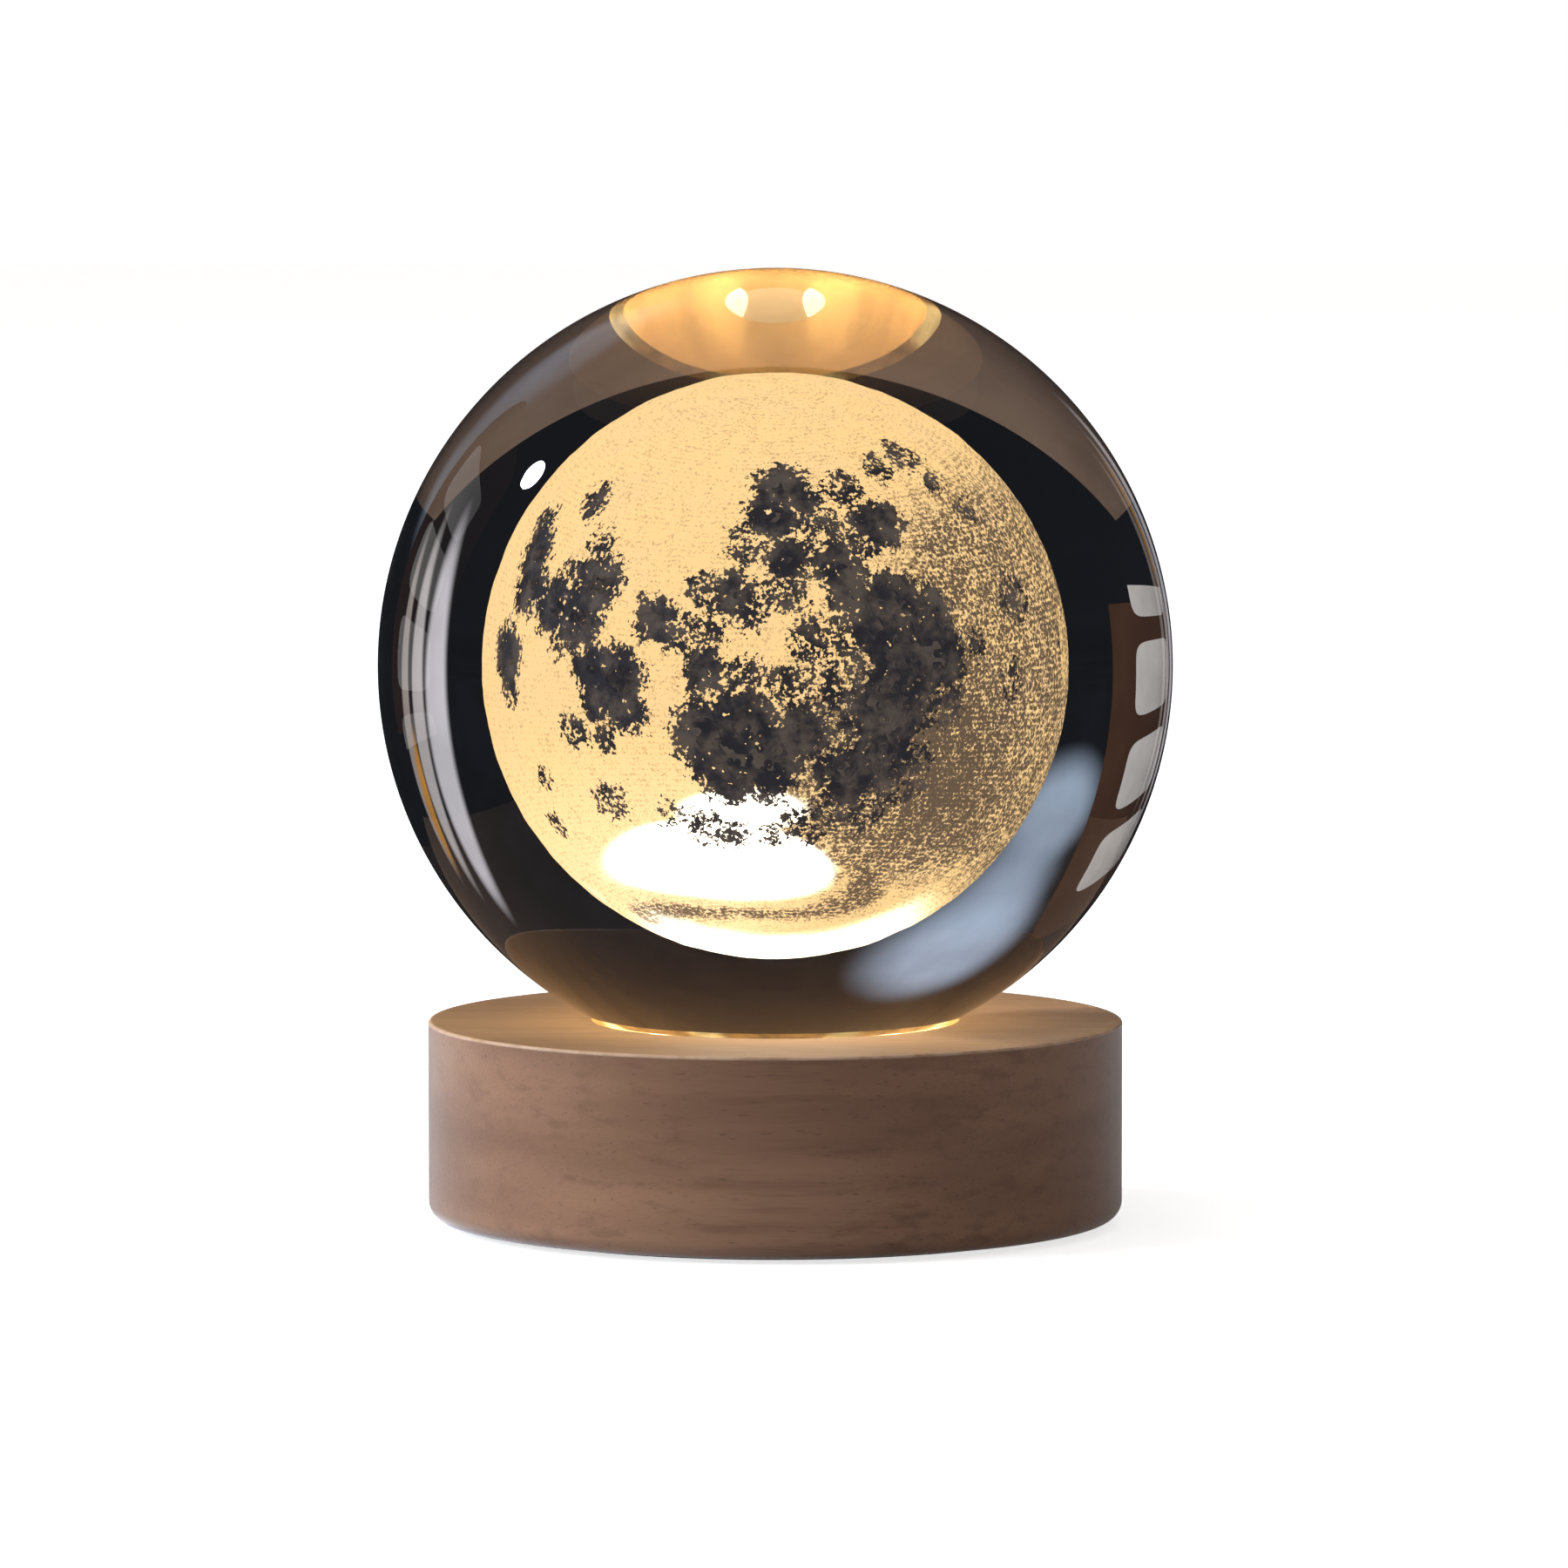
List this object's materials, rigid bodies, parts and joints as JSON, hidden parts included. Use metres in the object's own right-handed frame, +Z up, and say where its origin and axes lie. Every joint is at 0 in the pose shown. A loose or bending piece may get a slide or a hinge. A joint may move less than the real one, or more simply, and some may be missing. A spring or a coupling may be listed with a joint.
{
  "type": "moon lamp",
  "caption": "Clear crystal ball with an engraved moon, lying loose on a round wooden base whose LED ring lights it from below.",
  "frame": {"origin": "centre of the underside of the foot pad, where the lamp stands", "axes": "+Z up through the centre of the ball, -Y the front that shows the moon's seas, +Y the back with the inlet and the button"},
  "size_m": [0.08, 0.08, 0.0962],
  "materials": {
    "clear_crystal": "polished clear crystal",
    "engraving": "frosted laser dots, lit warm",
    "beech": "fine sanded, clear matt oil",
    "white_board": "white solder mask",
    "led_case": "white case with yellow phosphor",
    "resistor": "black film with tinned ends",
    "screw_steel": "zinc plated",
    "green_board": "green solder mask",
    "chip_black": "moulded epoxy",
    "socket_steel": "drawn stainless",
    "black_plastic": "moulded",
    "switch_plunger": "moulded",
    "button_plastic": "moulded, satin",
    "wire_black": "insulated",
    "wire_red": "insulated",
    "cover_plastic": "moulded, fine texture",
    "screw_brass": "bright",
    "foam": "closed-cell foam"
  },
  "bodies": {
    "base": {"wooden_base": "beech", "led_board": "white_board", "led_1": "led_case", "led_2": "led_case", "led_3": "led_case", "led_4": "led_case", "led_5": "led_case", "led_6": "led_case", "led_7": "led_case", "led_8": "led_case", "resistor_1": "resistor", "resistor_2": "resistor", "resistor_3": "resistor", "resistor_4": "resistor", "led_board_screws": "screw_steel", "control_board": "green_board", "control_chip": "chip_black", "control_board_screws": "screw_steel", "usb_socket_shell": "socket_steel", "usb_socket_tongue": "black_plastic", "switch_body": "black_plastic", "lead_black": "wire_black", "lead_red": "wire_red", "bottom_cover": "cover_plastic", "cover_screws": "screw_brass", "foot_pad": "foam"},
    "ball": {"crystal_ball": "clear_crystal", "engraved_moon": "engraving"},
    "button": {"switch_plunger": "switch_plunger", "button_cap": "button_plastic"}
  },
  "joints": [
    {"name": "ball_lift", "type": "slide", "parent": "base", "child": "ball", "axis": [0, 0, 1], "range_m": [0, 0.04]},
    {"name": "button_press", "type": "slide", "parent": "base", "child": "button", "axis": [0, -1, 0], "range_m": [0, 0.0012], "stiffness_N_per_m": 800, "springref_m": -0.001}
  ]
}
